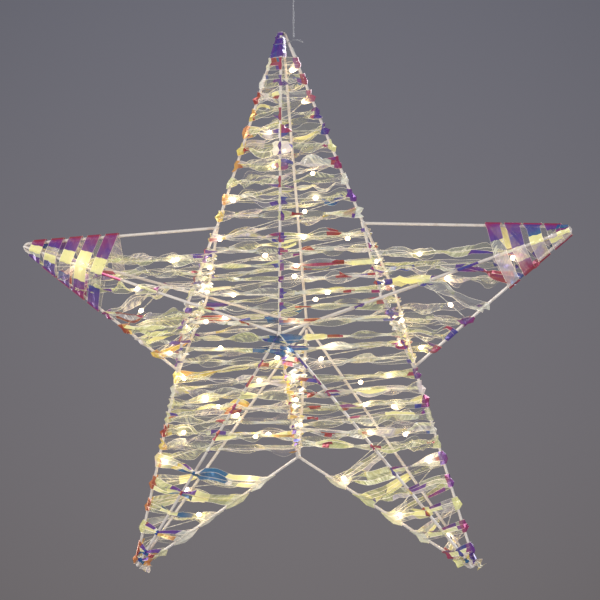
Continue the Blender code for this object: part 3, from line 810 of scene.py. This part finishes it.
            by_apex = front and near_apex(met)
            for column in range(COLUMNS):
                reach = self.uniform(*((0.012, 0.021) if pinched or by_apex else (0.004, 0.011)))
                low, high = (0.0, reach) if at_start else (length - reach, length)
                look = self.deep_look(near_tones)
                if pinched and self.happens(0.8):
                    self.colour([column], begun + low, begun + high, fan[column], 0.03)
                elif self.happens(0.85 if by_apex else deep_share):
                    self.colour([column], begun + low, begun + high, look, 0.04)

    def pale_pieces(self, begun, throats, knots, tones, middle, outer):
        """Colours a pass from throat to throat, on a leg from knot to knot. Now and then one is deep."""
        cuts, slope = throats, self.uniform(-0.0045, 0.0045)
        shares = CLEAR_SHARE, YELLOW_SHARE
        deep_share = 0.18 if outer and middle.z < HIGH_ARM else 0.08
        if middle.z < LEG_LEVEL:
            cuts, slope = [knot[0] for knot in knots], self.uniform(-0.012, 0.012)
            shares, deep_share = (LEG_CLEAR_SHARE, LEG_YELLOW_SHARE), 0.08
        for low, high in zip(cuts, cuts[1:]):
            shared = self.pale_look(*shares)
            if self.happens(deep_share) and high - low < 0.05:
                shared = self.deep_look(tones)
            for column in range(COLUMNS):
                look = shared if self.happens(0.6) else self.pale_look(*shares)
                slip = slope * (column - 1) + self.uniform(-0.001, 0.001)
                self.colour([column], begun + low + slip, begun + high, look, self.uniform(-0.07, 0.07))

    def chest_pieces(self, begun, length, from_rib):
        """Violet next to the ridge down the chest's middle, and a dark red lens somewhere on the pass."""
        for column in range(COLUMNS):
            reach = self.uniform(0.001, 0.009)
            low, high = (0.0, reach) if from_rib else (length - reach, length)
            self.colour([column], begun + low, begun + high, (self.uniform(0.66, 0.80), 0.88, 0.0), 0.06)
        lens = self.uniform(0.2, 0.7) * length
        for column, half in (1, 0.0075), (self.draw.choice((0, 2)), 0.0045):
            self.colour([column], begun + lens - half, begun + lens + half, (0.585, 0.88, 0.0), 0.01)

    def lay(self, met, offset=ON_WIRE, shades=None, flat=False, solid=False):
        """Lays the film over the wires that it meets, in order, and from each of them to the next."""
        last = None
        for index, (point, run, lies) in enumerate(met):
            arriving, leaving = ways_past(met, index)
            arrive, leave = outward(arriving, run), outward(leaving, run)
            slant = max(0.42, arriving.normalized().cross(run).length)
            tones = shades or deep_tones(point, lies)
            opened = FLAT_WIDTH if flat else self.uniform(*kept_open(point, lies))
            if last:
                near = point + arrive * (offset + LAID_GAP)
                if flat:
                    self.band(last[0], near, last[2], run, tones, solid)
                else:
                    self.between(last[0], near, last[2], run, (last[3], tones), (last[1], opened))
            self.over_wire(point, run, arrive, leave, lies, opened / slant, offset, tones, flat, solid)
            last = point + leave * (offset + LAID_GAP), opened, run, tones
        return self

    def loose_end(self, way):
        """The strip's last stretch, crumpled and left loose past the last turn."""
        last = self.rows[-1]
        across = (last["spots"][-1] - last["spots"][0]).normalized()
        begun = self.travelled
        for step in range(1, 7):
            square = (across - across.dot(way) * way).normalized()
            side = Quaternion(way, 0.9 * math.sin(1.7 * step)) @ square
            spot = last["centre"] + way * (LOOSE_END * step / 6) + side * 0.0012 * math.sin(2.3 * step)
            self.row(spot, side, way.cross(side), self.uniform(0.45, 0.9), (0.1, -0.1), 0.0008)
        for column in range(COLUMNS):
            tone = self.draw.choice([0.26, 0.37, 0.40, 0.42])
            self.colour([column], begun, self.travelled, (tone, self.uniform(0.3, 0.6), 0.5), 0.03)

    def patch(self, near, half, look, opened):
        """Opens the film to one width round its row nearest to a point, and gives it one look there."""
        near = Vector(near)
        middle = min(self.rows, key=lambda row: (row["centre"] - near).length)["along"]
        for row in self.rows:
            if abs(row["along"] - middle) < half:
                grow = max(1.0, opened / row["width"])
                row["spots"] = [row["centre"] + (spot - row["centre"]) * grow for spot in row["spots"]]
                row["width"] *= grow
        self.colour(range(COLUMNS), middle - half, middle + half, look, 0.02)

    def look_at(self, column, centre, corner, width):
        """What film shows at one corner of a face, from the last piece laid over the middle of the face."""
        for start, end, (tone, veil, rippled), fade in self.wraps + self.pieces[column][::-1]:
            if start <= centre <= end:
                share = min(1.0, max(0.0, (corner - start) / max(end - start, 1e-6)))
                gathered = smooth((0.55 - width) / 0.3)
                tone += fade * share
                if tone < DEEP_FROM:
                    tone += (0.36 - tone) * gathered * 0.8
                return tone, min(0.95, veil + 0.50 * gathered), rippled * (1 - gathered)
        return self.pale, 0.3, 0.0

    def creases(self, corners, points, face):
        """Each corner's distances to the three sides of its face in mm, if they show as creases."""
        area, reach = face.calc_area(), [FAR_FROM_CREASE] * 3
        for n in range(3):
            (r, k), (_, other_k) = corners[n - 1], corners[n - 2]
            side = (points[n - 1].co - points[n - 2].co).length
            shown = k == other_k and self.rows[r]["lines"][k] and self.rows[r]["width"] > 0.3
            if shown and side > 0.0004:
                reach[n] = 2 * area / side * 1000
        near = [FAR_FROM_CREASE if far == FAR_FROM_CREASE else 0.0 for far in reach]
        return [(*near[:m], reach[m], *near[m + 1:], 1) for m in range(3)]

    def make(self, part):
        shape = bmesh.new()
        strip = shape.loops.layers.uv.new("strip")
        facet = shape.loops.layers.float_color.new("facet")
        folds = shape.loops.layers.float_color.new("folds")
        lit_here = shape.verts.layers.float.new("lit")
        made = [[shape.verts.new(HUNG @ spot) for spot in row["spots"]] for row in self.rows]
        for index in range(len(made) - 1):
            for column in range(COLUMNS):
                a, b = (index, column), (index, column + 1)
                c, d = (index + 1, column + 1), (index + 1, column)
                for corners in ((a, b, c), (c, d, a)) if column % 2 else ((a, b, d), (c, d, b)):
                    points = [made[r][k] for r, k in corners]
                    face = shape.faces.new(points)
                    centre = sum(self.rows[r]["along"] for r, _ in corners) / 3
                    creased = self.creases(corners, points, face)
                    for (r, k), loop, crease in zip(corners, face.loops, creased):
                        along, width = self.rows[r]["along"], self.rows[r]["width"]
                        loop[strip].uv = (k / COLUMNS, along)
                        loop[facet] = (*self.look_at(column, centre, along, width), 1)
                        loop[folds] = crease
        # Painted lamp light: each point of film gets a glow from the lamps near it, falling off with
        # distance.
        back = HUNG.inverted()
        places = np.array([list(back @ point.co) for point in shape.verts])
        near = np.zeros(len(places))
        for lamp in np.array(lamps):
            near += (1 + ((places - lamp) ** 2).sum(1) / LAMP_GLOW ** 2) ** -1.7
        for point, value in zip(shape.verts, near):
            point[lit_here] = value * 1.6
        finished(f"film_{part}_wrap", shape, film, "star", f"film_{part}", smooth=False)


def met_at(level, *wires):
    """The points where one turn at this level meets these wires, in order."""
    return [(*crossing(wire, UP, level), BUNCHED) for wire in wires]


# The top strip starts with three dark turns over the crown, inside the tie, and ends with one round the
# two apexes. A bright cream patch on its ridge is a painted highlight, and a blue and a yellow one lie next
# to the front apex.
CROWN_TURNS = 0.2975, 0.2915, 0.2855
CROWN_TONES = [0.76, 0.79, 0.82, 0.99]
APEX_TURN, APEX_STEP = -0.005, 0.004
crown_wires = left_edge(TOP), ridge(TOP, FRONT), ridge(TOP, REAR)
crown_turns = [met for level in CROWN_TURNS for met in met_at(level, *crown_wires)]
apex_turn = met_at(APEX_TURN, base_wire(LEFT, REAR), base_wire(LEFT, FRONT), ridge(LOWER_LEFT, FRONT),
                   ridge(LOWER_RIGHT, FRONT), base_wire(RIGHT, FRONT), base_wire(RIGHT, REAR))
top_strip = Strip(11).lay(crown_turns, UNDER_TIE, CROWN_TONES, flat=True, solid=True)
top_strip.lay(top_turns(1) + met_at(APEX_STEP, ridge(TOP, REAR)) + apex_turn)
# Painted highlight: a bright cream patch that glows on the top ridge.
top_strip.patch((0.002, -0.024, 0.180), 0.010, (0.37, 0.9, 0.8), 1.0)
top_strip.patch((0.012, -0.052, -0.005), 0.010, DEEP_BLUE, 0.75)
top_strip.patch((0.034, -0.044, -0.005), 0.011, BRIGHT_YELLOW, 0.65)
top_strip.make("top")


def tip_turn(arm):
    """The strip's last turn on a leg, close to the bend of its tip wire."""
    return leg_turns(arm, [ARM_REACH * LEG_RUN[1], 0.2945])[3:]


lower_left_strip = Strip(12).lay(lower_left_turns(1) + tip_turn(LOWER_LEFT))
lower_left_strip.patch((-0.088, -0.015, -0.152), 0.014, DEEP_BLUE, 0.9)
lower_left_strip.patch((-0.119, -0.015, -0.181), 0.007, (0.92, 0.9, 0.0), 1.0)
lower_left_strip.patch((-0.104, -0.015, -0.181), 0.009, BRIGHT_YELLOW, 1.0)
lower_left_strip.loose_end(spoke(bearing(LOWER_LEFT), 1))
lower_left_strip.make("lower_left")
lower_right_strip = Strip(13).lay(lower_right_turns(1) + tip_turn(LOWER_RIGHT))
lower_right_strip.patch((0.085, -0.020, -0.133), 0.016, (0.10, 0.6, 1.0), 1.0)
lower_right_strip.patch((0.133, -0.015, -0.200), 0.010, (0.07, 0.93, 0.0), 0.9)
lower_right_strip.loose_end(spoke(bearing(LOWER_RIGHT), 1))
lower_right_strip.make("lower_right")
Strip(14).lay(left_arm_turns(1)).make("left_arm")
right_arm_strip = Strip(15).lay(right_arm_turns(1))
right_arm_strip.patch((0.108, -0.030, 0.045), 0.005, (0.80, 0.9, 0.0), 0.8)
right_arm_strip.patch((0.129, -0.026, 0.045), 0.015, BRIGHT_YELLOW, 0.9)
right_arm_strip.make("right_arm")

# A short strip of its own is wound flat over each side tip, over all else. It shows violet and dark red on
# the left, violet to blue on the right.
for seed, arm, reaches, tones in [
    (21, LEFT, levels((0.9260, 0.6849, 5)), [0.68, 0.72, 0.76]),
    (22, RIGHT, [0.2965] + levels((0.9260, 0.7452, 4)), [0.70, 0.82, 0.88]),
]:
    turns = wound(reaches, spoke(bearing(arm), 1), round_arm(arm), 4)
    Strip(seed).lay(turns, OVER_FILM, tones, flat=True).make(f"{ARMS[arm]}_tip")

# Feed sleeve: clear shrink tube over the joint where the string's five branches are fed. It lies behind the
# top arm's right wire, a little below the tie.
shrink = Finish("clear_shrink_sleeve", Roughness=0.22, Coat_Weight=0.4, IOR=1.45, Alpha=0.75)
shrink.shows(Base_Color=shrink.blend(shrink.speckle(0.003), (0.80, 0.79, 0.74), (0.92, 0.90, 0.84)))
shrink.bumps(shrink.speckle(0.0011, 3.0), 0.0002)
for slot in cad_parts["feed_sleeve"].material_slots:
    slot.material = shrink.material

# Hanging line: clear cord of two plies, 1.6 mm across, held taut by the star. It runs from the knot up into
# a crimped sleeve, and the loop above the sleeve goes on the hook, just out of the photograph.
cord = Finish("clear_twisted_cord", Roughness=0.25, Coat_Weight=0.3, IOR=1.5, Alpha=0.6)
cord.shows(Base_Color=cord.blend(cord.speckle(0.004), (0.36, 0.36, 0.40), (0.55, 0.54, 0.56)))
cord.bumps(cord.speckle(0.0007), 0.00004)
LINE = 0.0016
LINE_LENGTH = 0.060
PLY_PITCH = 0.0055
PLY_STEP = 0.0006
PLY_SIDES = 6
CRIMP_LENGTH = 0.008
LOOP_FOOT, LOOP_HALF, LOOP_HEIGHT = 0.0011, 0.0065, 0.026


def plied(name, route, body, node, thickness=LINE):
    """Two plies laid round a route, each a closed skin."""
    shape = bmesh.new()
    dense = []
    for start, end in zip(route, route[1:]):
        steps = max(1, math.ceil((end - start).length / PLY_STEP))
        dense += [start.lerp(end, n / steps) for n in range(steps)]
    dense.append(route[-1])
    level = Vector((0.1, 1, 0.05)).normalized()
    for ply in (0, math.pi):
        rings, covered = [], 0.0
        for index, spot in enumerate(dense):
            ahead = dense[min(index + 1, len(dense) - 1)] - dense[max(index - 1, 0)]
            way = ahead.normalized()
            other = way.cross(level).normalized()
            across = other.cross(way)
            covered += (spot - dense[index - 1]).length if index else 0
            twist = ply + math.tau * covered / PLY_PITCH
            middle = spot + (across * math.cos(twist) + other * math.sin(twist)) * (thickness / 4)
            rings.append(ring(shape, Matrix(), middle, across, other, thickness / 4, PLY_SIDES))
        skin(shape, rings)
    return finished(name, shape, cord, body, node)


line_foot = KNOT + UP * (KNOT_RADIUS + GAP)
line_head = line_foot + UP * LINE_LENGTH
line_route = [line_foot.lerp(line_head, n / 20) for n in range(21)]
hanging_line = plied("twisted_line", line_route, "line", "hanging_line")
loop_start = line_head + UP * (GAP + CRIMP_LENGTH + GAP)
loop_route = []
for n in range(41):
    share = n / 40
    swing = math.sin(math.pi * share)
    reach = LOOP_FOOT + (LOOP_HALF - LOOP_FOOT) * swing ** 0.7
    across = -math.cos(math.pi * share) * reach
    loop_route.append(loop_start + Vector((across, 0, LOOP_HEIGHT * swing ** 0.8)))
hook_loop = plied("twisted_loop", loop_route, "line", "hanging_loop")

# Crimp sleeve: a short clear plastic tube, pressed over both legs of the loop above the line. The crimping
# tool left two dents in it, and its rims are a little drawn in.
CRIMP_RADIUS = 0.0021
CRIMP_SIDES = 24
DENTS, DENT_HALF, DENT_DEPTH = (0.3, 0.7), 0.07, 0.16
RIM_RADIUS, RIM_SHARE = 0.80, 0.06
BULGE = 0.25
crimp = bmesh.new()
rings = []
for n in range(25):
    share = n / 24
    dent = DENT_DEPTH * sum(math.exp(-((share - middle) / DENT_HALF) ** 2) for middle in DENTS)
    drawn_in = min(1.0, RIM_RADIUS + 0.2 * smooth(min(share, 1 - share) / RIM_SHARE))
    points = []
    for k in range(CRIMP_SIDES):
        turn = math.tau * k / CRIMP_SIDES
        radius = CRIMP_RADIUS * drawn_in
        across = math.cos(turn) * radius * (1 + dent * BULGE)
        place = Vector((across, math.sin(turn) * radius * (1 - dent), 0))
        points.append(crimp.verts.new(line_head + UP * (GAP + CRIMP_LENGTH * share) + place))
    rings.append(points)
skin(crimp, rings)
crimped = finished("crimped_sleeve", crimp, shrink, "line", "line_sleeve")

# Knot, tail and tie: the line's lower end. It goes once round the frame wire, is knotted beside the wire,
# and is cut off 8 mm past the knot.
KNOT_SIZE = 0.00042
KNOT_THICKNESS = 0.0011
TAIL_LENGTH, TAIL_DROP = 0.008, 0.33
knot_route = []
for n in range(61):
    turn = math.tau * n / 60
    across, deep_in = math.sin(turn) + 2 * math.sin(2 * turn), math.cos(turn) - 2 * math.cos(2 * turn)
    knot_route.append(KNOT + Vector((across, deep_in, -math.sin(3 * turn))) * KNOT_SIZE)
plied("tied_knot", knot_route, "knot", "line_knot", KNOT_THICKNESS)
tail_route = []
for n in range(9):
    share = n / 8
    reach = KNOT_RADIUS + GAP + TAIL_LENGTH * share
    tail_route.append(KNOT + Vector((reach, 0, -TAIL_LENGTH * TAIL_DROP * share ** 2)))
plied("cut_tail", tail_route, "knot", "line_tail")
ring_across = tie_run.cross(Vector((0, -1, 0))).normalized()
ring_other = tie_run.cross(ring_across)
tie_route = []
for n in range(49):
    turn = math.tau * n / 48
    outwards = ring_across * math.cos(turn) + ring_other * math.sin(turn)
    tie_route.append(HUNG @ (tie_centre + outwards * TIE_RADIUS))
plied("tied_loop", tie_route, "tie", "tie_loop", TIE_THICKNESS)

# Studio: a plain grey floor well below the star, a grey surround with a faint pool of light on it behind
# the star, and four soft lamps around it.
floor_finish = Finish("studio_floor", Roughness=0.85)
floor_greys = (0.20, 0.20, 0.22), (0.24, 0.24, 0.26)
floor_finish.shows(Base_Color=floor_finish.blend(floor_finish.speckle(0.4), *floor_greys))
FLOOR_LEVEL, FLOOR_SIZE, FLOOR_WAVES = -1.15, 1.6, 3
ground = bmesh.new()
bmesh.ops.create_grid(ground, x_segments=24, y_segments=24, size=FLOOR_SIZE)
for point in ground.verts:
    point.co.z = FLOOR_LEVEL + 0.001 * noise.noise(point.co * FLOOR_WAVES)
floor = meshed("floor", ground, floor_finish)

POOL_OF_LIGHT = Vector((-0.241, 0.967, -0.080))
world = bpy.data.worlds.new("studio")
bpy.context.scene.world = world
world.use_nodes = True
sky = Nodes(world.node_tree)
direction = sky.add("ShaderNodeTexCoord", {}, {}, "Generated")
_, _, height = sky.split(direction)
rising = sky.add("ShaderNodeMapRange", {}, {"Value": height, "From Min": -0.22, "From Max": 0.06})
greys = [(0.0, (0.184, 0.168, 0.173)), (1.0, (0.169, 0.169, 0.204))]
grey = sky.add("ShaderNodeValToRGB", {"stops": greys}, {"Fac": rising})
ways = {0: direction, 1: POOL_OF_LIGHT}
facing_pool = sky.add("ShaderNodeVectorMath", {"operation": "DOT_PRODUCT"}, ways, "Value")
pool = sky.add("ShaderNodeMapRange", {}, {"Value": facing_pool, "From Min": 0.98, "To Min": 0.76})
seen = sky.tree.nodes["Background"]
sky.feed(seen.inputs["Color"], sky.scaled(grey, pool))
fill = sky.add("ShaderNodeBackground", {}, {"Color": (0.94, 0.96, 1.0), "Strength": 0.42})
camera_ray, glossy_ray, through_ray = (
    sky.add("ShaderNodeLightPath", {}, {}, f"Is {kind} Ray") for kind in ("Camera", "Glossy", "Transmission")
)
plainly = camera_ray.most(glossy_ray.most(through_ray))
swap = sky.add("ShaderNodeMixShader", {}, {0: plainly, 1: fill, 2: Value(sky, seen.outputs[0])})
sky.feed(sky.tree.nodes["World Output"].inputs["Surface"], swap)

CENTRE = HUNG @ Vector()
for name, place, size, power, tint in [
    ("key_softbox", (-1.5, -2.0, 1.0), 1.1, 34, (1.0, 0.98, 0.95)),
    ("fill_softbox", (1.9, -1.6, 0.1), 1.0, 17, (0.93, 0.96, 1.0)),
    ("back_softbox", (0.6, 2.1, 0.7), 1.2, 26, (0.96, 0.97, 1.0)),
    ("side_softbox", (-2.0, 0.9, -0.6), 0.9, 14, (1.0, 0.95, 0.92)),
]:
    light = bpy.data.lights.new(name, "AREA")
    light.energy, light.size, light.color = power, size, tint
    softbox = placed(name, light)
    softbox.location = CENTRE + Vector(place)
    softbox.rotation_euler = (CENTRE - softbox.location).to_track_quat("-Z", "Y").to_euler()

# Camera: a long lens 2.44 m away, 14 degrees round to the right and 4.6 degrees up, as the photograph shows
# the star. The star's middle lies a little left of the picture's middle, and below it.
DISTANCE, AZIMUTH, ELEVATION = 2.44, math.radians(14), math.radians(4.6)
FOCAL_PIXELS, PICTURE_PIXELS = 2370.4, 600
PIXELS_LEFT, PIXELS_BELOW = 6.6, 29.3
level = math.cos(ELEVATION)
toward = Vector((math.sin(AZIMUTH) * level, -math.cos(AZIMUTH) * level, math.sin(ELEVATION)))
camera = placed("camera", bpy.data.cameras.new("camera"))
camera.data.lens = FOCAL_PIXELS / PICTURE_PIXELS * camera.data.sensor_width
camera.location = CENTRE + toward * DISTANCE
look = (-toward).to_track_quat("-Z", "Y")
pan, tilt = math.atan2(PIXELS_LEFT, FOCAL_PIXELS), math.atan2(PIXELS_BELOW, FOCAL_PIXELS)
camera.rotation_euler = (look @ Quaternion((0, 1, 0), -pan) @ Quaternion((1, 0, 0), tilt)).to_euler()
bpy.context.scene.camera = camera
bpy.context.scene.view_settings.view_transform = "Standard"
